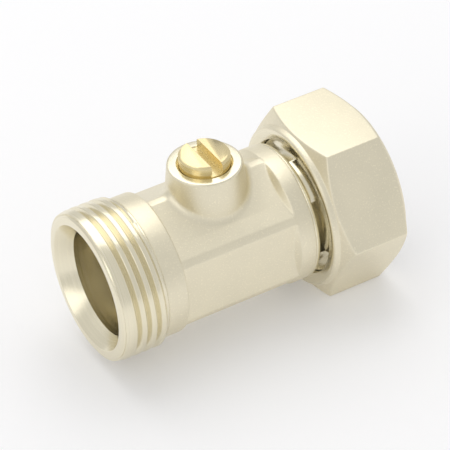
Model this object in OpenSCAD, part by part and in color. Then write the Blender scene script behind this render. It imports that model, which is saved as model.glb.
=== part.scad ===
// Straight shut-off ball valve for the bottom connection of a radiator.
// Millimetres. X runs along the flow, from the face of the male end at x = 0 to the
// union nut. Z points up along the stem. The flow axis is at y = 0, z = 0.
// The valve is drawn closed. Threads are plain walls at their stated diameters.

/* [Male end] */
// outside diameter of the pipe thread (G 3/4)
thread_d = 26.4; // [26.1:0.05:26.6]
// distance from the end face to the collar behind the thread
thread_end_x = 8.8; // [8:0.1:10]
// length of the lead-in cone on the thread's first turn
thread_lead = 1.3; // [0.8:0.1:1.8]
// outside diameter of the end face
rim_d = 24.3; // [23.8:0.1:25]
// mouth diameter of the conical pipe socket
socket_d = 22; // [21.5:0.1:22.6]
// depth of the conical socket
socket_depth = 2.85; // [2.2:0.05:3.4]
// diameter of the pipe bore behind the socket
bore_d = 18.7; // [18:0.1:19]
// depth of the pipe bore, from the end face to its stop
bore_depth = 10.2; // [9:0.1:11]

/* [Body] */
// diameter of the round collar behind the thread
collar_d = 24.6; // [24.2:0.1:25.2]
// where the collar meets the hexagon
collar_end_x = 12.5; // [11.5:0.1:13.5]
// hexagon of the body, across flats
body_af = 21.5; // [21:0.1:22.4]
// turned diameter that blunts the hexagon's edges
body_edge_d = 24.1; // [23.6:0.1:24.4]
// where the shoulder at the far end of the hexagon starts
shoulder_x = 33.2; // [32:0.1:34]
// length of the shoulder's slope along the axis
shoulder_len = 0.75; // [0.4:0.05:1.2]
// diameter of the round collar at the union end
end_collar_d = 24; // [23.4:0.1:24.4]
// width of the turned ring at the body's end
end_ring = 0.8; // [0.6:0.1:1.4]
// end of the body on the union side
body_end_x = 37.9; // [37:0.1:39]
// outside diameter of the end face on the union side
end_face_d = 22.4; // [21.8:0.1:23]
// diameter of the water way through the body and the tailpiece
passage_d = 12.4; // [12:0.1:13]

/* [Stem boss] */
// distance of the stem's axis from the end face
stem_x = 23.3; // [22.8:0.1:23.8]
// height of the boss's top face above the flow axis
boss_top_z = 16.1; // [15.4:0.1:17]
// diameter of the boss at its top
boss_d = 12.5; // [12:0.1:13]
// diameter of the boss where it enters the body
boss_root_d = 13.4; // [13:0.1:14]
// radius of the fillet between the boss and the body's faces
boss_fillet = 1.9; // [1:0.1:2.2]
// height and width of the rounding on the boss's top edge
boss_round = 0.35; // [0.2:0.05:0.5]
// chamfer at the mouth of the stem hole
hole_chamfer = 0.37; // [0.2:0.01:0.5]

/* [Stem] */
// diameter of the stem
stem_d = 8.6; // [8.4:0.1:8.8]
// radial running gap between the stem and its hole
stem_gap = 0.05; // [0.03:0.01:0.08]
// how far the stem stands over the boss
stem_rise = 1.9; // [1.4:0.1:2.6]
// chamfer of the stem's top edge
stem_chamfer = 0.35; // [0.2:0.05:0.5]
// width of the driver slot
slot_w = 2; // [1.6:0.1:2.4]
// depth of the driver slot
slot_depth = 1.9; // [1.6:0.1:2.2]
// diameter of the flange that keeps the stem in the body
flange_d = 10.2; // [9.8:0.1:10.4]
// thickness of the stem's flange
flange_t = 0.9; // [0.7:0.05:1.1]
// thickness of the stem's tang
tang_t = 2.6; // [2.2:0.1:3]
// width of the stem's tang
tang_w = 6.6; // [6:0.1:7]

/* [Ball and seats] */
// diameter of the ball
ball_d = 17.6; // [17.4:0.1:17.8]
// diameter of the hole through the ball
ball_bore_d = 11.6; // [11:0.1:12]
// radial gap between the ball and its chamber, which is open to the union side
ball_gap = 0.5; // [0.4:0.05:0.7]
// how far the ball reaches past the back of each seat
ball_reach = 1.2; // [1:0.05:1.4]
// thickness of each seat ring, along the axis
seat_t = 3; // [2.6:0.1:3.2]

/* [Tailpiece] */
// how far the neck of the tailpiece laps over the body's end face
neck_lip = 0.6; // [0.4:0.05:0.9]
// diameter of the tailpiece's head, inside the union nut
head_d = 23.8; // [23.4:0.05:23.9]
// length of the neck, from the body's end face to the head
neck_len = 2.4; // [1.9:0.1:2.7]
// length of the tailpiece's head, up to its sealing face
head_len = 4.5; // [4.3:0.1:4.9]
// hexagon socket in the tailpiece, across flats
key_af = 13.4; // [13:0.1:14]
// depth of the hexagon socket
key_depth = 6; // [4:0.5:7]

/* [Union nut] */
// gap between the body's end face and the nut
nut_gap = 1.2; // [1:0.1:1.5]
// length of the nut
nut_len = 14.1; // [13.6:0.1:14.6]
// nut, across flats
nut_af = 29.6; // [29:0.1:30]
// diameter of the nut's bore at the body side
nut_bore_d = 24; // [23.95:0.05:24.1]
// diameter over which the nut's faces are flat
nut_face_d = 28.4; // [27.6:0.1:28.8]
// minor diameter of the nut's thread (G 3/4)
nut_minor_d = 24.12; // [24.05:0.01:24.3]
// diameter of the relief groove behind the nut's thread
nut_relief_d = 26.6; // [26.4:0.1:27]
// length of the nut's thread
nut_thread_len = 6; // [5.4:0.1:6.4]

/* [Retaining ring and seals] */
// diameter of the ring's wire
wire_d = 1.6; // [1.4:0.05:1.7]
// middle diameter of the retaining ring
wire_ring_d = 23.3; // [23.1:0.1:23.5]
// distance of the ring's middle from the start of the tailpiece's head
wire_pos = 2.1; // [1.9:0.1:2.3]
// gap between the ends of the retaining ring, in degrees
wire_gap = 26; // [16:1:40]
// thickness of the flat gasket
gasket_t = 1.4; // [1.2:0.1:1.4]
// inside diameter of the flat gasket
gasket_id = 17.4; // [16.8:0.1:18]
// section of the stem's O-rings
stem_ring_d = 1.2; // [1.1:0.05:1.3]
// section of the tailpiece's O-ring
tail_ring_d = 1.5; // [1.4:0.05:1.6]
// thickness of the stem's thrust washer
washer_t = 0.5; // [0.4:0.05:0.6]

/* [Hidden] */
$fn = 96;

nickel = [0.80, 0.78, 0.72];
brass = [0.78, 0.66, 0.38];
chrome = [0.82, 0.83, 0.85];
ptfe = [0.93, 0.93, 0.90];
rubber = [0.10, 0.10, 0.11];
fibre = [0.22, 0.25, 0.24];
steel = [0.62, 0.63, 0.64];

eps = 0.02;                                   // gap between pieces that touch
hole_d = stem_d + 2 * stem_gap;
stem_top_z = boss_top_z + stem_rise;
slot_floor_z = stem_top_z - slot_depth;
head_x = body_end_x + neck_len;
seal_x = head_x + head_len;
nut_x = body_end_x + nut_gap;
wire_x = head_x + wire_pos;
chamber_d = ball_d + 2 * ball_gap;
neck_d = chamber_d + 2 * neck_lip;
pocket_half = ball_d / 2 - ball_reach;        // half length of the ball's pocket
pocket_x0 = stem_x - pocket_half;             // stop of the inlet seat
pocket_x1 = stem_x + pocket_half;             // inner end of the tailpiece
flange_z = chamber_d / 2 + 0.35;              // underside of the stem's flange
washer_z = flange_z + flange_t + eps;
counterbore_z = washer_z + washer_t + eps;
ball_slot_z = ball_d / 2 - 2;                 // floor of the slot in the ball
ring_land = 0.55;
ring_groove = stem_ring_d + 0.3;
ring_z1 = boss_top_z - hole_chamfer - ring_land - ring_groove;  // upper groove of the stem
ring_z0 = ring_z1 - ring_land - ring_groove;                    // lower groove of the stem
tail_ring_x = body_end_x - 2.4;
nut_end_x = nut_x + nut_len;
nut_edge_d = nut_af / cos(30);
thread_x1 = nut_end_x - 0.9;                  // end of the nut's full thread
thread_x0 = thread_x1 - nut_thread_len;

// Solid of revolution about the flow axis; every point is [x, radius].
module turned(points) {
    rotate([0, 90, 0]) rotate_extrude()
        polygon([for (p = points) [p[1], p[0]]]);
}

// Cylinder along the flow axis.
module rod(x0, x1, d) {
    translate([x0, 0, 0]) rotate([0, 90, 0]) cylinder(h = x1 - x0, d = d);
}

// Hexagonal bar along the flow axis; turn = 0 puts an edge on top.
module hex_bar(x0, x1, af, turn = 0) {
    translate([x0, 0, 0]) rotate([turn, 0, 0]) rotate([0, 90, 0])
        cylinder(h = x1 - x0, d = af / cos(30), $fn = 6);
}

// O-ring about the flow axis.
module axial_ring(x, mid_d, section) {
    translate([x, 0, 0]) rotate([0, 90, 0]) rotate_extrude()
        translate([mid_d / 2, 0]) circle(d = section, $fn = 32);
}

// O-ring about the stem's axis.
module stem_ring(z) {
    mid_d = stem_d - stem_ring_d;
    translate([stem_x, 0, z + ring_groove / 2]) rotate_extrude()
        translate([mid_d / 2, 0]) circle(d = stem_ring_d, $fn = 32);
}

// Outside of the boss, with the fillet that blends it into the sloping faces.
module boss() {
    r1 = boss_d / 2;
    r0 = boss_root_d / 2;
    roof = body_af / 2 / cos(30);
    arc_z = roof - tan(30) * (r0 + boss_fillet / 2) + sin(60) * boss_fillet;
    translate([stem_x, 0, 0]) rotate_extrude()
        polygon(concat(
            [[0, 0], [r0 + boss_fillet / 2, 0]],
            [for (a = [60:-10:0])
                [r0 + boss_fillet * (1 - cos(a)), arc_z - boss_fillet * sin(a)]],
            [[r1 + 0.12, roof + 1.2], [r1, boss_top_z - boss_round]],
            [for (a = [30:30:90])
                [r1 - boss_round * (1 - cos(a)),
                 boss_top_z - boss_round * (1 - sin(a))]],
            [[0, boss_top_z]]));
}

module body_outside() {
    flat = body_af / 2;
    // end face, rounded rim, lead-in and thread
    turned([[0, 0], [0, rim_d / 2], [0.12, rim_d / 2 + 0.22], [0.35, rim_d / 2 + 0.42],
            [thread_lead, thread_d / 2], [thread_end_x, thread_d / 2],
            [thread_end_x, 0]]);
    // collar, with soft edges
    turned([[thread_end_x - 0.1, 0], [thread_end_x - 0.1, collar_d / 2 - 0.15],
            [thread_end_x + 0.3, collar_d / 2], [collar_end_x - 0.35, collar_d / 2],
            [collar_end_x, collar_d / 2 - 0.2], [collar_end_x, 0]]);
    // hexagon with turned edges
    intersection() {
        hex_bar(collar_end_x - 1, body_end_x - 2, body_af);
        rod(collar_end_x - 1, body_end_x - 2, body_edge_d);
    }
    // sloping shoulder, round collar, fine groove and turned ring
    turned([[shoulder_x, 0], [shoulder_x, flat - 0.15],
            [shoulder_x + shoulder_len, end_collar_d / 2 - 0.2],
            [shoulder_x + shoulder_len + 0.3, end_collar_d / 2],
            [body_end_x - end_ring - 0.12, end_collar_d / 2],
            [body_end_x - end_ring, end_collar_d / 2 - 0.15],
            [body_end_x - end_ring + 0.12, end_collar_d / 2 - 0.05],
            [body_end_x - 0.35, end_collar_d / 2 - 0.15],
            [body_end_x - 0.1, end_face_d / 2 + 0.3],
            [body_end_x, end_face_d / 2], [body_end_x, 0]]);
    boss();
}

module body() {
    color(nickel) difference() {
        body_outside();
        // conical socket, pipe bore, water way and ball chamber
        turned([[-1, 0], [-1, socket_d / 2 + (socket_d - bore_d) / 2 / socket_depth],
                [socket_depth, bore_d / 2], [bore_depth, bore_d / 2], [bore_depth, 0]]);
        rod(bore_depth - 1, pocket_x0 + 1, passage_d);
        rod(pocket_x0, body_end_x + 1, chamber_d);
        // stem hole with its inner counterbore and its chamfered mouth
        translate([stem_x, 0, 0]) {
            cylinder(h = counterbore_z, d = flange_d + 0.2);
            cylinder(h = boss_top_z + 1, d = hole_d);
            translate([0, 0, boss_top_z - hole_chamfer])
                cylinder(h = hole_chamfer * 3, d1 = hole_d, d2 = hole_d + 6 * hole_chamfer);
        }
    }
}

module ball() {
    color(chrome) translate([stem_x, 0, 0]) difference() {
        sphere(d = ball_d);
        // the hole lies across the flow while the valve is closed
        rotate([90, 0, 0]) cylinder(h = ball_d + 2, d = ball_bore_d, center = true);
        // slot for the stem's tang
        translate([-ball_d / 2, -tang_t / 2 - 0.05, ball_slot_z])
            cube([ball_d, tang_t + 0.1, ball_d]);
    }
}

module stem() {
    r = stem_d / 2;
    groove_r = r - stem_ring_d;
    color(brass) translate([stem_x, 0, 0]) {
        difference() {
            rotate_extrude() polygon([
                [0, flange_z - 0.2], [flange_d / 2 - 0.2, flange_z - 0.2],
                [flange_d / 2, flange_z],
                [flange_d / 2, flange_z + flange_t], [r, flange_z + flange_t],
                [r, ring_z0], [groove_r, ring_z0],
                [groove_r, ring_z0 + ring_groove], [r, ring_z0 + ring_groove],
                [r, ring_z1], [groove_r, ring_z1],
                [groove_r, ring_z1 + ring_groove], [r, ring_z1 + ring_groove],
                [r, stem_top_z - stem_chamfer], [r - stem_chamfer, stem_top_z],
                [0, stem_top_z]]);
            // driver slot across the flow
            translate([-slot_w / 2, -stem_d, slot_floor_z])
                cube([slot_w, 2 * stem_d, stem_top_z]);
        }
        // tang that turns the ball
        translate([0, 0, ball_slot_z + 0.1]) intersection() {
            translate([-tang_w / 2, -tang_t / 2, 0])
                cube([tang_w, tang_t, flange_z - ball_slot_z]);
            cylinder(h = flange_z, d = tang_w);
        }
    }
}

module thrust_washer() {
    color(ptfe) translate([stem_x, 0, washer_z]) difference() {
        cylinder(h = washer_t, d = flange_d + 0.1);
        translate([0, 0, -1]) cylinder(h = washer_t + 2, d = hole_d);
    }
}

module stem_oring_lower() {
    color(rubber) stem_ring(ring_z0);
}

module stem_oring_upper() {
    color(rubber) stem_ring(ring_z1);
}

// Seat ring with a ball-shaped face; side = -1 at the inlet, 1 at the outlet.
module seat(side) {
    x0 = side < 0 ? pocket_x0 + eps : pocket_x1 - eps - seat_t;
    difference() {
        rod(x0, x0 + seat_t, chamber_d - 2 * eps);
        rod(x0 - 1, x0 + seat_t + 1, passage_d);
        translate([stem_x, 0, 0]) sphere(d = ball_d + 2 * eps);
    }
}

module inlet_seat() {
    color(ptfe) seat(-1);
}

module outlet_seat() {
    color(ptfe) seat(1);
}

module tailpiece() {
    groove_w = wire_d + 0.1;
    color(nickel) difference() {
        turned([[pocket_x1, 0], [pocket_x1, chamber_d / 2 - 0.4],
                [pocket_x1 + 0.4, chamber_d / 2 - eps], [body_end_x + eps, chamber_d / 2 - eps],
                [body_end_x + eps, neck_d / 2], [head_x, neck_d / 2],
                [head_x, head_d / 2 - 0.3], [head_x + 0.3, head_d / 2],
                [wire_x - groove_w / 2, head_d / 2],
                [wire_x - groove_w / 2, nut_bore_d / 2 - wire_d - 0.1],
                [wire_x + groove_w / 2, nut_bore_d / 2 - wire_d - 0.1],
                [wire_x + groove_w / 2, head_d / 2],
                [seal_x - 0.3, head_d / 2], [seal_x, head_d / 2 - 0.3], [seal_x, 0]]);
        rod(pocket_x1 - 1, seal_x + 1, passage_d);
        // hexagon socket, with a turned lead-in
        hex_bar(seal_x - key_depth, seal_x + 1, key_af);
        turned([[seal_x - 0.8, 0], [seal_x - 0.8, key_af / 2], [seal_x + 0.2, key_af / 2 + 1],
                [seal_x + 0.2, 0]]);
        // groove of the O-ring
        difference() {
            rod(tail_ring_x - tail_ring_d / 2 - 0.15, tail_ring_x + tail_ring_d / 2 + 0.15,
                chamber_d + 1);
            rod(pocket_x1, body_end_x, chamber_d - 2 * tail_ring_d);
        }
    }
}

module tail_oring() {
    color(rubber) axial_ring(tail_ring_x, chamber_d - tail_ring_d - eps / 2, tail_ring_d - eps);
}

module retaining_ring() {
    color(steel) translate([wire_x, 0, 0]) rotate([0, 90, 0])
        rotate([0, 0, wire_gap / 2]) rotate_extrude(angle = 360 - wire_gap)
            translate([wire_ring_d / 2, 0]) circle(d = wire_d, $fn = 32);
}

module union_nut() {
    face = nut_face_d / 2;
    edge = nut_edge_d / 2;
    slope = (edge - face - 0.2) * tan(27);
    groove_w = wire_d + 0.1;
    color(nickel) difference() {
        intersection() {
            hex_bar(nut_x, nut_end_x, nut_af, 30);
            // rounded shoulder at the body side, chamfers at both ends
            turned([[nut_x, 0], [nut_x, face - 0.7], [nut_x + 0.15, face - 0.25],
                    [nut_x + 0.6, face + 0.05], [nut_x + 1, face + 0.2],
                    [nut_x + 1 + slope, edge], [nut_end_x - 0.3 - slope, edge],
                    [nut_end_x - 0.3, face + 0.2], [nut_end_x, face - 0.2],
                    [nut_end_x, 0]]);
        }
        // bore over the tailpiece, groove for the ring, relief and thread
        turned([[nut_x - 1, 0], [nut_x - 1, nut_bore_d / 2 + 1.25],
                [nut_x + 0.25, nut_bore_d / 2],
                [wire_x - groove_w / 2, nut_bore_d / 2],
                [wire_x - groove_w / 2, wire_ring_d / 2 + wire_d / 2 + 0.15],
                [wire_x + groove_w / 2, wire_ring_d / 2 + wire_d / 2 + 0.15],
                [wire_x + groove_w / 2, nut_bore_d / 2],
                [seal_x, nut_bore_d / 2], [seal_x + 0.3, nut_relief_d / 2],
                [thread_x0 - 0.6, nut_relief_d / 2], [thread_x0, nut_minor_d / 2],
                [thread_x1, nut_minor_d / 2], [nut_end_x + 0.1, thread_d / 2 + 0.3],
                [nut_end_x + 0.1, 0]]);
    }
}

module gasket() {
    color(fibre) difference() {
        rod(seal_x + eps, seal_x + eps + gasket_t, nut_minor_d - 0.4);
        rod(seal_x - 1, seal_x + gasket_t + 1, gasket_id);
    }
}

body();
ball();
stem();
thrust_washer();
stem_oring_lower();
stem_oring_upper();
inlet_seat();
outlet_seat();
tailpiece();
tail_oring();
retaining_ring();
union_nut();
gasket();
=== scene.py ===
"""Looks of a straight shut-off ball valve: nickel-plated forging, brass stem, loose union nut."""
import math

import bmesh
import bpy
from bpy.props import FloatProperty, FloatVectorProperty, IntProperty, PointerProperty
from mathutils import Matrix, Vector


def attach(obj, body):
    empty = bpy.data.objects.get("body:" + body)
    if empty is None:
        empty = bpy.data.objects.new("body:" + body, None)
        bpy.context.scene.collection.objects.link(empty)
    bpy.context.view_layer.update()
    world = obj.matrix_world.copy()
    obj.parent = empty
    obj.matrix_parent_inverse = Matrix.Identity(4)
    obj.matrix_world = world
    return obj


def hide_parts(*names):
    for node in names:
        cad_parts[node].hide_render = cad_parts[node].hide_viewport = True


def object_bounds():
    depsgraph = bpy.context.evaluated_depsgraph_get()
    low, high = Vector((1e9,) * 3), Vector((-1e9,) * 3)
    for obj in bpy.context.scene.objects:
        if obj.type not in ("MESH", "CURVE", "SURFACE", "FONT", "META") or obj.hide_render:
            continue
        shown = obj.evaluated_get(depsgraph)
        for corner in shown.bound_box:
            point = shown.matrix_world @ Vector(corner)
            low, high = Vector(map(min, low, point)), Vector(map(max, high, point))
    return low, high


bl_info = {
    "name": "Straight ball valve",
    "version": (1, 0, 0),
    "blender": (4, 5, 0),
    "location": "View3D > Sidebar > Valve",
    "description": "Builds the threads, forged faces and finishes of a straight ball valve",
    "category": "Object",
}

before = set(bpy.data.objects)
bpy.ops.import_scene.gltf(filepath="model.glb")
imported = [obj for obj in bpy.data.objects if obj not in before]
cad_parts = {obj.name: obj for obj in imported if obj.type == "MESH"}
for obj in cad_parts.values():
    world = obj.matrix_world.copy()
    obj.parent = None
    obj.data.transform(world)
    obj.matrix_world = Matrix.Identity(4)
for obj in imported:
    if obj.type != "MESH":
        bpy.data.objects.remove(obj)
cad_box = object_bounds()
MM = 0.001

# Sizes shared by more than one piece, in millimetres; X runs along the flow, Z up the stem.
STEM_X = 23.3
BORE_R = 9.35
CHAMBER_R = 9.3
PASSAGE_R = 6.2
BODY_END = 37.9
FLAT = 10.75
RIDGE_R = 12.05
BOSS_TOP = 16.1
HOLE_R = 4.35
COUNTERBORE_Z = 11.09
NUT_X = 39.1
NUT_END = 53.2


# Settings

class ValveSizes(bpy.types.PropertyGroup):
    """Sizes that the dressed pieces add to the plain solids."""
    pitch: FloatProperty(
        name="Thread pitch", description="Distance between turns of the pipe thread",
        default=1.814 * MM, min=0.5 * MM, unit="LENGTH", precision=6)
    crest_radius: FloatProperty(
        name="Crest radius", description="Radius of the male thread over its crests",
        default=13.15 * MM, unit="LENGTH", precision=6)
    thread_depth: FloatProperty(
        name="Thread depth", description="Depth of the thread from crest to root",
        default=0.95 * MM, unit="LENGTH", precision=6)
    crest_width: FloatProperty(
        name="Crest width", description="Width of the thread's crest before its edges are rounded",
        default=0.8 * MM, unit="LENGTH", precision=6)
    thread_start: FloatProperty(
        name="Thread start", description="Where a crest begins at the side facing -Y",
        default=3.3 * MM, unit="LENGTH", precision=6)
    fillet: FloatProperty(
        name="Boss fillet", description="Radius where the boss runs into the hexagon's faces",
        default=1.9 * MM, unit="LENGTH", precision=6)
    columns: IntProperty(
        name="Columns", description="Faces round the body and the nut, a multiple of 48",
        default=288, min=96)


class ValveColours(bpy.types.PropertyGroup):
    """Colours of the finishes and the stage."""
    plating: FloatVectorProperty(
        name="Plating", description="Nickel plating on brass", subtype="COLOR", size=3,
        default=(0.83, 0.77, 0.60), min=0, max=1)
    plating_turned: FloatVectorProperty(
        name="Turned plating", description="Nickel plating on turned faces", subtype="COLOR",
        size=3, default=(0.86, 0.80, 0.62), min=0, max=1)
    brass: FloatVectorProperty(
        name="Brass", description="Bare turned brass of the stem", subtype="COLOR", size=3,
        default=(0.86, 0.73, 0.42), min=0, max=1)
    floor: FloatVectorProperty(
        name="Floor", description="Table under the valve", subtype="COLOR", size=3,
        default=(0.82, 0.82, 0.83), min=0, max=1)
    key_power: FloatProperty(
        name="Key light", description="Power of the large lamp overhead, in watts", default=1.7)


# Mesh helpers

def soften(points):
    """Section points (x, r, cut) with each corner that has a cut rounded by five points."""
    out = []
    for k, (x, r, cut) in enumerate(points):
        here = Vector((x, r))
        if cut <= 0:
            out.append(here)
            continue
        before = Vector(points[k - 1][:2]) - here
        after = Vector(points[(k + 1) % len(points)][:2]) - here
        a = here + before.normalized() * min(cut, before.length * 0.48)
        b = here + after.normalized() * min(cut, after.length * 0.48)
        for t in (0, 0.25, 0.5, 0.75, 1):
            out.append(a * (1 - t) ** 2 + here * 2 * t * (1 - t) + b * t * t)
    return out


def spin_section(section, angles, upright=None):
    """Spins a closed section and sets each column to section(angle), a list of (x, r).
    The axis is the flow axis, or the upright line at x = upright, where x counts upwards."""
    steps, shift = len(angles) - 1, 1.0
    first = section(angles[0])
    bm = bmesh.new()
    ring = bm.verts.layers.int.new("ring")
    verts = []
    for k, p in enumerate(first):
        v = bm.verts.new((p[0], 20 + p[1], 0))
        v[ring] = k
        verts.append(v)
    edges = [bm.edges.new((verts[k - 1], verts[k])) for k in range(len(verts))]
    bmesh.ops.spin(bm, geom=verts + edges, cent=(0, 0, 0), axis=(1, 0, 0),
                   dvec=(shift, 0, 0), angle=math.tau, steps=steps, use_merge=False,
                   use_duplicate=False)
    columns = [section(a) for a in angles]
    for v in bm.verts:
        j = round((v.co.x - first[v[ring]][0]) / shift)
        x, r = columns[j][v[ring]]
        a = angles[j]
        if upright is None:
            v.co = (x, r * math.cos(a), r * math.sin(a))
        else:
            v.co = (upright + r * math.cos(a), r * math.sin(a), x)
    bmesh.ops.remove_doubles(bm, verts=bm.verts, dist=2e-5)
    bmesh.ops.dissolve_degenerate(bm, edges=bm.edges, dist=1e-6)
    bmesh.ops.recalc_face_normals(bm, faces=bm.faces)
    return bm


def even_angles(steps):
    return [math.tau * k / steps for k in range(steps + 1)]


def hexagon_angles(steps, first_edge, corner):
    """Column angles round a hexagon, closer together across its edges; corner in degrees."""
    near = [0, 0.4, 0.75, 0.88, 1.0, 1.12, 1.3]
    side = steps // 6
    flat = side - 2 * (len(near) - 1)
    width = 60 - 2 * near[-1] * corner
    one = [n * corner for n in near]
    one += [near[-1] * corner + width * k / flat for k in range(1, flat)]
    one += [60 - n * corner for n in reversed(near[1:])]
    out = [first_edge + 60 * s + a for s in range(6) for a in one]
    return [math.radians(a) for a in out + [first_edge + 360]]


def new_object(name, bm, sharp=32, scale=MM):
    bmesh.ops.scale(bm, vec=(scale,) * 3, verts=bm.verts)
    mesh = bpy.data.meshes.new(name)
    bm.to_mesh(mesh)
    bm.free()
    obj = bpy.data.objects.new(name, mesh)
    bpy.context.scene.collection.objects.link(obj)
    smooth(obj, sharp)
    return obj


def smooth(obj, sharp):
    mesh = obj.data
    mesh.polygons.foreach_set("use_smooth", [True] * len(mesh.polygons))
    mesh.set_sharp_from_angle(angle=math.radians(sharp))


def apply_modifiers(obj, sharp=None):
    """The object keeps what its modifiers make of it, as a plain mesh."""
    graph = bpy.context.evaluated_depsgraph_get()
    made = bpy.data.meshes.new_from_object(obj.evaluated_get(graph), depsgraph=graph)
    old = obj.data
    obj.modifiers.clear()
    obj.data = made
    made.name = obj.name
    bpy.data.meshes.remove(old)
    if sharp is not None:
        smooth(obj, sharp)


def combine(obj, tool, operation, sharp=32):
    """Joins a tool solid to an object, or cuts it away, and deletes the tool."""
    m = obj.modifiers.new(operation.title(), "BOOLEAN")
    m.object, m.operation, m.solver = tool, operation, "EXACT"
    apply_modifiers(obj, sharp)
    bpy.data.objects.remove(tool)


def merged_copy(node, sharp=30):
    """A welded copy of a CAD node, so that its round faces shade as round."""
    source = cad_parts[node]
    bm = bmesh.new()
    bm.from_mesh(source.data)
    bmesh.ops.remove_doubles(bm, verts=bm.verts, dist=1e-7)
    bmesh.ops.dissolve_limit(bm, angle_limit=math.radians(0.5), verts=bm.verts, edges=bm.edges)
    obj = new_object("dressed_" + node, bm, sharp, scale=1.0)
    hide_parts(node)
    return obj


# Materials

def group(name, inputs, outputs):
    """An empty shader node group with named float inputs; outputs are (name, kind)."""
    tree = bpy.data.node_groups.new(name, "ShaderNodeTree")
    for label, value in inputs:
        s = tree.interface.new_socket(label, in_out="INPUT", socket_type="NodeSocketFloat")
        s.default_value = value
    for label, kind in outputs:
        tree.interface.new_socket(label, in_out="OUTPUT", socket_type="NodeSocket" + kind)
    return tree, tree.nodes.new("NodeGroupInput"), tree.nodes.new("NodeGroupOutput")


def node(tree, kind, links=(), **settings):
    """A shader node with its settings; links maps an input's name or number to a socket or value."""
    made = tree.nodes.new("ShaderNode" + kind)
    for key, value in settings.items():
        setattr(made, key, value)
    for key, value in dict(links).items():
        if isinstance(value, bpy.types.NodeSocket):
            tree.links.new(value, made.inputs[key])
        else:
            made.inputs[key].default_value = value
    return made


def maths(tree, operation, a, b=0.0, c=0.0, clamp=False):
    return node(tree, "Math", {0: a, 1: b, 2: c}, operation=operation, use_clamp=clamp).outputs[0]


def grain_group():
    """Fine pits of a blasted surface as a height, a cloud of tone, and a speckle mask for glints that are painted
    into the colour.
    """
    tree, start, end = group("Blasted grain", [("Size", 0.25), ("Seed", 0.0)],
                             [("Height", "Float"), ("Speckle", "Float"), ("Cloud", "Float")])
    place = node(tree, "TexCoord").outputs["Object"]
    scale = maths(tree, "DIVIDE", 1000.0, start.outputs["Size"])
    fine = node(tree, "TexNoise", {"Vector": place, "Scale": scale, "Detail": 2.0,
                                   "Roughness": 0.6, "W": start.outputs["Seed"]},
                noise_dimensions="4D").outputs["Fac"]
    coarse = node(tree, "TexNoise", {"Vector": place, "Scale": maths(tree, "MULTIPLY", scale, 0.31),
                                     "Detail": 2.0, "Roughness": 0.55}).outputs["Fac"]
    cloud = node(tree, "TexNoise", {"Vector": place, "Scale": maths(tree, "MULTIPLY", scale, 0.045),
                                    "Detail": 3.0, "Roughness": 0.5}).outputs["Fac"]
    mixed = maths(tree, "ADD", maths(tree, "MULTIPLY", fine, 0.65), maths(tree, "MULTIPLY", coarse, 0.35))
    tree.links.new(mixed, end.inputs["Height"])
    # bright specks in the fine grain, used as painted glints
    speck = node(tree, "MapRange", {"Value": fine, "From Min": 0.56, "From Max": 0.72},
                 clamp=True).outputs[0]
    tree.links.new(speck, end.inputs["Speckle"])
    tree.links.new(cloud, end.inputs["Cloud"])
    return tree


def turning_group():
    """Fine rings that a lathe leaves, along an axis through a centre, as height and tone."""
    tree, start, end = group("Turning rings", [("Centre X", 0.0), ("Upright", 0.0), ("Size", 0.12)],
                             [("Height", "Float"), ("Tone", "Float")])
    place = node(tree, "TexCoord").outputs["Object"]
    parts = node(tree, "SeparateXYZ", {0: place})
    x = maths(tree, "SUBTRACT", parts.outputs["X"], start.outputs["Centre X"])
    y, z = parts.outputs["Y"], parts.outputs["Z"]
    flow_r = maths(tree, "SQRT", maths(tree, "ADD", maths(tree, "MULTIPLY", y, y), maths(tree, "MULTIPLY", z, z)))
    stem_r = maths(tree, "SQRT", maths(tree, "ADD", maths(tree, "MULTIPLY", y, y), maths(tree, "MULTIPLY", x, x)))
    along = node(tree, "Mix", {0: start.outputs["Upright"], 2: x, 3: z}).outputs[0]
    away = node(tree, "Mix", {0: start.outputs["Upright"], 2: flow_r, 3: stem_r}).outputs[0]
    spot = node(tree, "CombineXYZ", {0: along, 1: away, 2: 0.0}).outputs[0]
    scale = maths(tree, "DIVIDE", 1000.0, start.outputs["Size"])
    fine = node(tree, "TexNoise", {"Vector": spot, "Scale": scale, "Detail": 3.0,
                                   "Roughness": 0.65}).outputs["Fac"]
    broad = node(tree, "TexNoise", {"Vector": spot, "Scale": maths(tree, "MULTIPLY", scale, 0.22),
                                    "Detail": 1.0}).outputs["Fac"]
    tree.links.new(fine, end.inputs["Height"])
    tree.links.new(maths(tree, "MULTIPLY", fine, broad), end.inputs["Tone"])
    return tree


def edge_group():
    """How near a sharp outer edge is, and a normal that rounds that edge."""
    tree, start, end = group("Soft edges", [("Width", 0.15)], [("Edge", "Float"), ("Normal", "Vector")])
    radius = maths(tree, "MULTIPLY", start.outputs["Width"], 0.001)
    rounded = node(tree, "Bevel", {"Radius": radius}, samples=4).outputs[0]
    true = node(tree, "NewGeometry").outputs["Normal"]
    same = node(tree, "VectorMath", {0: rounded, 1: true}, operation="DOT_PRODUCT").outputs["Value"]
    edge = node(tree, "MapRange", {"Value": same, "From Min": 0.995, "From Max": 0.86}, clamp=True).outputs[0]
    tree.links.new(edge, end.inputs["Edge"])
    tree.links.new(rounded, end.inputs["Normal"])
    return tree


def use(tree, group_tree, values=()):
    made = tree.nodes.new("ShaderNodeGroup")
    made.node_tree = group_tree
    for key, value in dict(values).items():
        made.inputs[key].default_value = value
    return made


def material(name, **values):
    """A material with one Principled shader; returns (material, node tree, shader)."""
    mat = bpy.data.materials.new(name)
    mat.use_nodes = True
    shader = mat.node_tree.nodes["Principled BSDF"]
    for key, value in values.items():
        shader.inputs[key.replace("_", " ").title().replace("Ior", "IOR")].default_value = value
    return mat, mat.node_tree, shader


def rgb(colour, factor=1.0):
    return (colour[0] * factor, colour[1] * factor, colour[2] * factor, 1.0)


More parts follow.
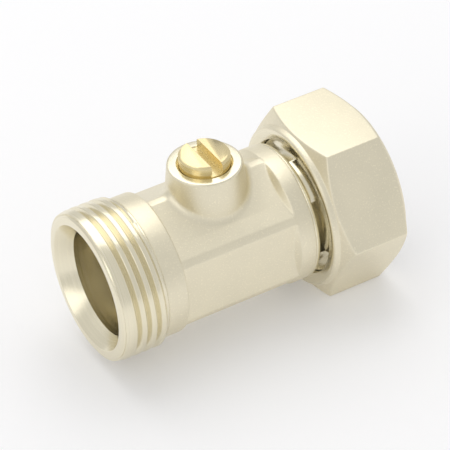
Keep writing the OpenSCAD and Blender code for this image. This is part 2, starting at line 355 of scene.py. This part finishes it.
def tone(tree, low, high, factor):
    """A colour between two, by a factor socket."""
    return node(tree, "Mix", {0: factor, 6: low, 7: high}, data_type="RGBA").outputs[2]


def blasted_plating(colours, groups):
    mat, tree, shader = material("Blasted nickel plating", metallic=1.0)
    grain = use(tree, groups["grain"], {"Size": 0.3})
    edges = use(tree, groups["edge"], {"Width": 0.18})
    base = tone(tree, rgb(colours.plating, 0.93), rgb(colours.plating, 1.06), grain.outputs["Cloud"])
    # painted glints: bright specks lighten the plating's colour in place of the blasted grain's sparkle
    base = tone(tree, base, rgb(colours.plating, 1.14), grain.outputs["Speckle"])
    # painted edge highlight: near sharp outer edges the colour lightens towards the turned plating; the lower
    # roughness set there below is real
    base = tone(tree, base, rgb(colours.plating_turned, 1.05),
                maths(tree, "MULTIPLY", edges.outputs["Edge"], 0.5))
    tree.links.new(base, shader.inputs["Base Color"])
    rough = maths(tree, "MULTIPLY_ADD", grain.outputs["Cloud"], 0.14, 0.36)
    rough = maths(tree, "MULTIPLY_ADD", edges.outputs["Edge"], -0.12, rough)
    tree.links.new(rough, shader.inputs["Roughness"])
    bump = node(tree, "Bump", {"Strength": 0.55, "Distance": 0.00006, "Height": grain.outputs["Height"],
                               "Normal": edges.outputs["Normal"]})
    tree.links.new(bump.outputs[0], shader.inputs["Normal"])
    return mat


def turned_plating(colours, groups, name="Turned nickel plating", centre=0.0, upright=0.0,
                   roughness=0.16, colour=None, size=0.12, strength=0.25):
    mat, tree, shader = material(name, metallic=1.0)
    rings = use(tree, groups["turning"], {"Centre X": centre, "Upright": upright, "Size": size})
    edges = use(tree, groups["edge"], {"Width": 0.08})
    colour = colour or colours.plating_turned
    base = tone(tree, rgb(colour, 0.86), rgb(colour, 1.08), rings.outputs["Height"])
    tree.links.new(base, shader.inputs["Base Color"])
    rough = maths(tree, "MULTIPLY_ADD", rings.outputs["Tone"], 0.3, roughness)
    tree.links.new(rough, shader.inputs["Roughness"])
    bump = node(tree, "Bump", {"Strength": strength, "Distance": 0.00002, "Height": rings.outputs["Height"],
                               "Normal": edges.outputs["Normal"]})
    tree.links.new(bump.outputs[0], shader.inputs["Normal"])
    return mat


def smooth_stuff(groups, name, colour, metallic, roughness, grain_size, strength, spread=0.1):
    """A plain material with a fine grain: chrome, PTFE, rubber, fibre or spring wire."""
    mat, tree, shader = material(name, metallic=metallic)
    grain = use(tree, groups["grain"], {"Size": grain_size, "Seed": 3.0})
    base = tone(tree, rgb(colour, 1 - spread), rgb(colour, 1 + spread), grain.outputs["Cloud"])
    tree.links.new(base, shader.inputs["Base Color"])
    rough = maths(tree, "MULTIPLY_ADD", grain.outputs["Cloud"], 0.2 * roughness, 0.9 * roughness)
    tree.links.new(rough, shader.inputs["Roughness"])
    bump = node(tree, "Bump", {"Strength": strength, "Distance": 0.00002, "Height": grain.outputs["Height"]})
    tree.links.new(bump.outputs[0], shader.inputs["Normal"])
    return mat


# Sections

def tooth(sizes, inward=1.0):
    """One turn of the thread as (offset along the pitch, depth below the crest), softened."""
    pitch, depth, crest = sizes.pitch / MM, sizes.thread_depth / MM, sizes.crest_width / MM
    flank = depth * math.tan(math.radians(27.5))
    root = (crest + flank + pitch - flank) / 2
    points = [(root - pitch, depth, 0), (0, 0, 0.13), (crest / 2, -0.015, 0), (crest, 0, 0.13), (root, depth, 0.16),
              (pitch, 0, 0)]
    out = [(p.x, p.y * inward) for p in soften(points)]
    return out[1:-1]


def tooth_depth(shape, pitch, offset):
    """Depth of the thread at an offset, between the tooth's points."""
    offset = (offset - shape[0][0]) % pitch + shape[0][0]
    for (x0, d0), (x1, d1) in zip(shape, shape[1:] + [(shape[0][0] + pitch, shape[0][1])]):
        if offset <= x1 + 1e-9:
            return d0 + (d1 - d0) * (offset - x0) / max(x1 - x0, 1e-9)
    return shape[0][1]


def step(a, b, x):
    t = min(max((x - a) / (b - a), 0), 1)
    return t * t * (3 - 2 * t)


def body_section(sizes):
    """Section of the body without its boss, for any angle round the flow axis."""
    pitch = sizes.pitch / MM
    shape = tooth(sizes)
    start = sizes.thread_start / MM
    crest = sizes.crest_radius / MM
    x_low, x_high = 0.42, 8.78

    def blank(x):
        lead = 12.57 + (crest - 12.57) * step(-1.2, 2.1, x)
        relief = crest - max(0.0, x - 7.95) * 1.9
        return min(lead, max(relief, 12.2))

    def radius(x, angle):
        offset = x - start - pitch * (math.degrees(angle) - 180) / 360
        depth = tooth_depth(shape, pitch, offset)
        return min(blank(x), crest - depth * step(0.9, 2.2, x))

    def hexagon(angle):
        away = (math.degrees(angle) - 30) % 60
        a = FLAT / math.cos(math.radians(away - 30))
        h = max(0.08 - abs(a - RIDGE_R), 0) / 0.08
        return min(a, RIDGE_R) - h * h * 0.02

    def section(angle):
        h = hexagon(angle)
        outer = [(0, 11.0, 0.08), (0, 12.2, 0.3), (0.4, 12.57, 0.1)]
        points = soften([(2.85, BORE_R, 0.05)] + outer + [(2.0, 12.9, 0)])[:-1]
        base = start + pitch * (math.degrees(angle) - 180) / 360
        turns = range(math.floor((x_low - start) / pitch) - 1, math.ceil((x_high - start) / pitch) + 1)
        for turn in turns:
            for offset, depth in shape:
                x = min(max(base + turn * pitch + offset, x_low), x_high)
                points.append(Vector((x, radius(x, angle))))
        # the shoulder meets each face of the hexagon where their radii agree
        meet = 33.2 + (min(h, 12.0) - 10.6) * 0.625
        tail = [(8.8, 12.1, 0), (8.8, 12.3, 0.15), (12.5, 12.3, 0.3), (12.5, h, min(0.35, (12.3 - h) * 0.45)),
                (meet, h, 0.25), (34.2, 12.0, 0.2), (36.98, 12.0, 0.05), (37.1, 11.85, 0.03), (37.22, 11.95, 0.03),
                (37.9, 11.85, 0.45), (BODY_END, CHAMBER_R, 0.1),
                (15.7, CHAMBER_R, 0.05), (15.7, PASSAGE_R, 0.05), (10.2, PASSAGE_R, 0.05), (10.2, BORE_R, 0.05),
                (2.85, BORE_R, 0)]
        return points + soften(tail)[:-1]

    return section


def boss_section(sizes):
    """Section of the boss for any angle round the stem: wall, and fillet onto the roof."""
    fillet = sizes.fillet / MM
    roof = FLAT / math.cos(math.radians(30))

    def surface(y):
        return min(roof - abs(y) * math.tan(math.radians(30)), math.sqrt(RIDGE_R ** 2 - min(abs(y), 12) ** 2))

    def section(angle):
        s = math.sin(angle)
        slope = math.atan(math.tan(math.radians(30)) * min(abs(s) * 1.02, 1))
        r0 = 6.7
        centre_r = r0 + fillet
        touch = centre_r - fillet * math.sin(slope)
        centre_z = surface(touch * s) - 0.03 + fillet * math.cos(slope)
        last = math.pi / 2 - slope + 0.02
        arc = [Vector((centre_z - fillet * math.sin(last * k / 9), centre_r - fillet * math.cos(last * k / 9)))
               for k in range(9, -1, -1)]
        end = arc[0]
        under = [Vector((11.0, 0)), Vector((end.x - 0.8, end.y - 0.1))]
        top = soften([(centre_z, r0, 0), (BOSS_TOP, 6.25, 0.38), (BOSS_TOP, 0, 0)])
        return under + arc + top[1:]

    return section


def nut_section(sizes):
    """Section of the union nut for any angle: shoulder, flats, chamfers, groove and thread."""
    apothem, ease = 14.8, 0.35
    corner = (apothem - ease) / math.cos(math.radians(30))
    tangent = math.atan2(ease * 0.5, corner + ease * math.cos(math.radians(30)))
    lean = math.tan(math.radians(27))
    pitch = sizes.pitch / MM
    shape = tooth(sizes)
    depth = sizes.thread_depth / MM
    x_low, x_high = 46.2, 52.5

    def flat(angle):
        away = math.radians((math.degrees(angle) + 30) % 60 - 30)
        if abs(away) < tangent:
            return corner * math.cos(away) + math.sqrt(ease ** 2 - (corner * math.sin(away)) ** 2)
        return apothem / math.cos(math.radians(30) - abs(away))

    def radius(x, angle):
        offset = x - 47.0 - pitch * math.degrees(angle) / 360
        cut = tooth_depth(shape, pitch, offset)
        fade = step(46.2, 46.9, x)
        return max(12.06 + (depth - cut) * 1.15 * fade, 12.06 + max(0, x - 52.3) * 1.2,
                   13.3 - max(0, x - 45.7) * 2.1)

    def section(angle):
        f = flat(angle)
        near, far = NUT_X + 1 + (f - 14.4) * lean, NUT_END - 0.3 - (f - 14.4) * lean
        outer = [(NUT_X, 13.25, 0.06), (NUT_X, 14.05, 0.35), (NUT_X + 0.75, 14.36, 0.3), (NUT_X + 1, 14.4, 0.12),
                 (near, f, 0.3), (far, f, 0.3), (NUT_END - 0.3, 14.4, 0.12), (NUT_END, 14.2, 0.1),
                 (NUT_END, 13.5, 0.06)]
        points = soften([(NUT_X + 0.25, 12.0, 0)] + outer + [(x_high, 12.3, 0)])[1:-1]
        thread = []
        base = 47.0 + pitch * math.degrees(angle) / 360
        for turn in range(-2, 5):
            for offset, _ in shape:
                x = min(max(base + turn * pitch + offset, x_low), x_high)
                thread.append(Vector((x, radius(x, angle))))
        inner = [(45.7, 13.3, 0.05), (45.1, 13.3, 0.05), (44.8, 12.0, 0.03), (43.25, 12.0, 0.03),
                 (43.25, 12.6, 0.03), (41.55, 12.6, 0.03), (41.55, 12.0, 0.03), (NUT_X + 0.25, 12.0, 0.05),
                 (NUT_X, 13.25, 0)]
        return points + thread[::-1] + soften(inner)[:-1]

    return section


# Operators

class VALVE_OT_finishes(bpy.types.Operator):
    """Make the finishes that the pieces share"""
    bl_idname = "valve.finishes"
    bl_label = "Finishes"

    def execute(self, context):
        colours = context.scene.valve_colours
        groups = {"grain": grain_group(), "turning": turning_group(), "edge": edge_group()}
        blasted_plating(colours, groups)
        turned_plating(colours, groups)
        turned_plating(colours, groups, "Turned plating round the stem", STEM_X * MM, 1.0)
        turned_plating(colours, groups, "Turned brass", STEM_X * MM, 1.0, 0.2, tuple(colours.brass))
        smooth_stuff(groups, "Chrome", (0.62, 0.63, 0.65), 1.0, 0.06, 0.4, 0.02, 0.03)
        smooth_stuff(groups, "White PTFE", (0.86, 0.86, 0.82), 0.0, 0.42, 0.5, 0.1, 0.04)
        smooth_stuff(groups, "Black rubber", (0.02, 0.02, 0.022), 0.0, 0.5, 0.2, 0.2, 0.2)
        smooth_stuff(groups, "Spring wire", (0.45, 0.45, 0.46), 1.0, 0.25, 0.2, 0.1, 0.1)
        smooth_stuff(groups, "Gasket fibre", (0.06, 0.09, 0.08), 0.0, 0.75, 0.35, 0.6, 0.25)
        return {"FINISHED"}


class VALVE_OT_body(bpy.types.Operator):
    """Build the forged body with its thread, hexagon and boss"""
    bl_idname = "valve.body"
    bl_label = "Body"

    def execute(self, context):
        sizes = context.scene.valve_sizes
        bm = spin_section(body_section(sizes), hexagon_angles(sizes.columns, 30, 3.13))
        turned, blasted = 1, 0
        for f in bm.faces:
            c = f.calc_center_median()
            r = math.hypot(c.y, c.z)
            f.material_index = turned if c.x < 8.79 or c.x > 37.02 or r < 10.3 else blasted
        body = new_object("forged_body", bm)
        boss = new_object("boss", spin_section(boss_section(sizes), even_angles(144), STEM_X))
        combine(body, boss, "UNION")
        # the counterbore opens into the ball's chamber, so the stem's tang can turn in it
        hole = [(0, 0, 0), (0, 5.2, 0), (COUNTERBORE_Z, 5.2, 0), (COUNTERBORE_Z, HOLE_R, 0),
                (BOSS_TOP - 0.37, HOLE_R, 0), (BOSS_TOP + 0.6, HOLE_R + 0.97, 0), (BOSS_TOP + 0.6, 0, 0)]
        drill = new_object("drill", spin_section(lambda a: soften(hole), even_angles(96), STEM_X))
        combine(body, drill, "DIFFERENCE")
        for name in ("Blasted nickel plating", "Turned nickel plating", "Turned plating round the stem"):
            body.data.materials.append(bpy.data.materials[name])
        for f in body.data.polygons:
            c = f.center / MM
            r = math.hypot(c.x - STEM_X, c.y)
            if (c.z > BOSS_TOP - 0.1 and r < 6.1) or (c.z > 9.2 and r < HOLE_R + 0.5 and abs(f.normal.z) < 0.9):
                f.material_index = 2
        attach(body, "housing")
        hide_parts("body")
        return {"FINISHED"}


class VALVE_OT_union_nut(bpy.types.Operator):
    """Build the loose union nut with its female thread"""
    bl_idname = "valve.union_nut"
    bl_label = "Union nut"

    def execute(self, context):
        sizes = context.scene.valve_sizes
        bm = spin_section(nut_section(sizes), hexagon_angles(sizes.columns, 0, 0.6))
        for f in bm.faces:
            c = f.calc_center_median()
            r = math.hypot(c.y, c.z)
            f.material_index = 1 if r < 13.45 or c.x < NUT_X + 0.02 else 0
        nut = new_object("union_nut_forged", bm)
        for name in ("Blasted nickel plating", "Turned nickel plating"):
            nut.data.materials.append(bpy.data.materials[name])
        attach(nut, "nut")
        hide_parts("union_nut")
        return {"FINISHED"}


class VALVE_OT_stem(bpy.types.Operator):
    """Give a welded copy of the stem, with its driver slot and tang, the turned brass finish"""
    bl_idname = "valve.stem"
    bl_label = "Stem"

    def execute(self, context):
        stem = merged_copy("stem")
        stem.data.materials.clear()
        stem.data.materials.append(bpy.data.materials["Turned brass"])
        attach(stem, "stem_and_ball")
        return {"FINISHED"}


class VALVE_OT_inner_parts(bpy.types.Operator):
    """Finish the pieces that the body and the nut hold"""
    bl_idname = "valve.inner_parts"
    bl_label = "Inner parts"

    def execute(self, context):
        rows = [
            ("tailpiece", "housing", "nickel_plated_turned", "Turned nickel plating"),
            ("ball", "stem_and_ball", "chrome_plated_ball", "Chrome"),
            ("inlet_seat", "housing", "ptfe", "White PTFE"),
            ("outlet_seat", "housing", "ptfe", "White PTFE"),
            ("thrust_washer", "housing", "ptfe", "White PTFE"),
            ("stem_oring_lower", "stem_and_ball", "rubber_seal", "Black rubber"),
            ("stem_oring_upper", "stem_and_ball", "rubber_seal", "Black rubber"),
            ("tail_oring", "housing", "rubber_seal", "Black rubber"),
            ("retaining_ring", "housing", "spring_wire", "Spring wire"),
            ("gasket", "housing", "gasket_fibre", "Gasket fibre"),
        ]
        for name, body, slot, finish in rows:
            obj = merged_copy(name)
            obj.data.materials.clear()
            obj.data.materials.append(bpy.data.materials[finish])
            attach(obj, body)
        return {"FINISHED"}


class VALVE_OT_stage(bpy.types.Operator):
    """Set the table, the lamps, the surroundings and the camera"""
    bl_idname = "valve.stage"
    bl_label = "Stage"

    def execute(self, context):
        scene = context.scene
        scene.view_settings.view_transform = "Standard"
        colours = scene.valve_colours
        self.table(colours)
        self.surroundings(scene)
        self.lamp("Overhead", (0.10, 0.30, 0.62), 0.7, colours.key_power, (1.0, 0.99, 0.97))
        self.lamp("Left fill", (-0.55, -0.25, 0.38), 0.4, colours.key_power * 0.25, (1.0, 0.98, 0.95))
        self.camera(scene)
        return {"FINISHED"}

    def table(self, colours):
        bm = bmesh.new()
        bmesh.ops.create_grid(bm, x_segments=2, y_segments=2, size=1.5)
        z = cad_box[0].z
        bmesh.ops.translate(bm, vec=(0, 0, z - 0.0002), verts=bm.verts)
        floor = new_object("table", bm, scale=1.0)
        mat, tree, shader = material("Pale table", roughness=0.9)
        shader.inputs["Base Color"].default_value = (*colours.floor, 1)
        out = tree.nodes["Material Output"]
        path = node(tree, "LightPath")
        seen = maths(tree, "MAXIMUM", path.outputs["Is Camera Ray"], path.outputs["Is Glossy Ray"])
        lift = node(tree, "Emission", {"Color": (0.98, 0.98, 1.0, 1), "Strength": 0.16})
        none = node(tree, "Emission", {"Strength": 0.0})
        chosen = node(tree, "MixShader", {0: seen, 1: none.outputs[0], 2: lift.outputs[0]})
        both = node(tree, "AddShader", {0: shader.outputs[0], 1: chosen.outputs[0]})
        tree.links.new(both.outputs[0], out.inputs["Surface"])
        floor.data.materials.append(mat)

    def surroundings(self, scene):
        world = bpy.data.worlds.new("Soft studio")
        scene.world = world
        world.use_nodes = True
        tree = world.node_tree
        back = tree.nodes["Background"]
        back.inputs["Color"].default_value = (0.9, 0.9, 0.9, 1)
        back.inputs["Strength"].default_value = 0.8

    def lamp(self, name, place, size, power, colour):
        light = bpy.data.lights.new(name, "AREA")
        light.shape, light.size = "SQUARE", size
        light.energy, light.color = power, colour
        obj = bpy.data.objects.new(name, light)
        obj.location = place
        aim = Vector((0.025, 0, 0)) - Vector(place)
        obj.rotation_euler = aim.to_track_quat("-Z", "Y").to_euler()
        bpy.context.scene.collection.objects.link(obj)

    def camera(self, scene):
        azimuth, elevation, roll = map(math.radians, (-28.866, 38.242, -2.904))
        target = Vector((-32.959, -107.867, 98.689)) * MM
        back = Vector((math.sin(azimuth) * math.cos(elevation),
                       -math.cos(azimuth) * math.cos(elevation), math.sin(elevation)))
        right = Vector((0, 0, 1)).cross(back).normalized()
        up = back.cross(right)
        across = right * math.cos(roll) + up * math.sin(roll)
        upward = up * math.cos(roll) - right * math.sin(roll)
        data = bpy.data.cameras.new("Camera")
        data.sensor_width, data.lens, data.clip_start = 36, 219.57, 0.01
        cam = bpy.data.objects.new("Camera", data)
        cam.matrix_world = Matrix.Translation(target + back * 0.3) @ Matrix(
            (across, upward, back)).transposed().to_4x4()
        scene.collection.objects.link(cam)
        scene.camera = cam


class VALVE_PT_panel(bpy.types.Panel):
    """Sizes, colours and steps of the valve"""
    bl_label = "Straight ball valve"
    bl_idname = "VALVE_PT_panel"
    bl_space_type = "VIEW_3D"
    bl_region_type = "UI"
    bl_category = "Valve"

    def draw(self, context):
        for settings in (context.scene.valve_sizes, context.scene.valve_colours):
            for key in settings.__annotations__:
                self.layout.prop(settings, key)
        for step_class in STEPS:
            self.layout.operator(step_class.bl_idname)


STEPS = (VALVE_OT_finishes, VALVE_OT_body, VALVE_OT_union_nut, VALVE_OT_stem,
         VALVE_OT_inner_parts, VALVE_OT_stage)
CLASSES = (ValveSizes, ValveColours, *STEPS, VALVE_PT_panel)


def register():
    for c in CLASSES:
        bpy.utils.register_class(c)
    bpy.types.Scene.valve_sizes = PointerProperty(type=ValveSizes)
    bpy.types.Scene.valve_colours = PointerProperty(type=ValveColours)


def unregister():
    del bpy.types.Scene.valve_sizes
    del bpy.types.Scene.valve_colours
    for c in reversed(CLASSES):
        bpy.utils.unregister_class(c)


def main():
    register()
    bpy.ops.valve.finishes()
    bpy.ops.valve.body()
    bpy.ops.valve.union_nut()
    bpy.ops.valve.stem()
    bpy.ops.valve.inner_parts()
    bpy.ops.valve.stage()


if __name__ == "__main__":
    main()
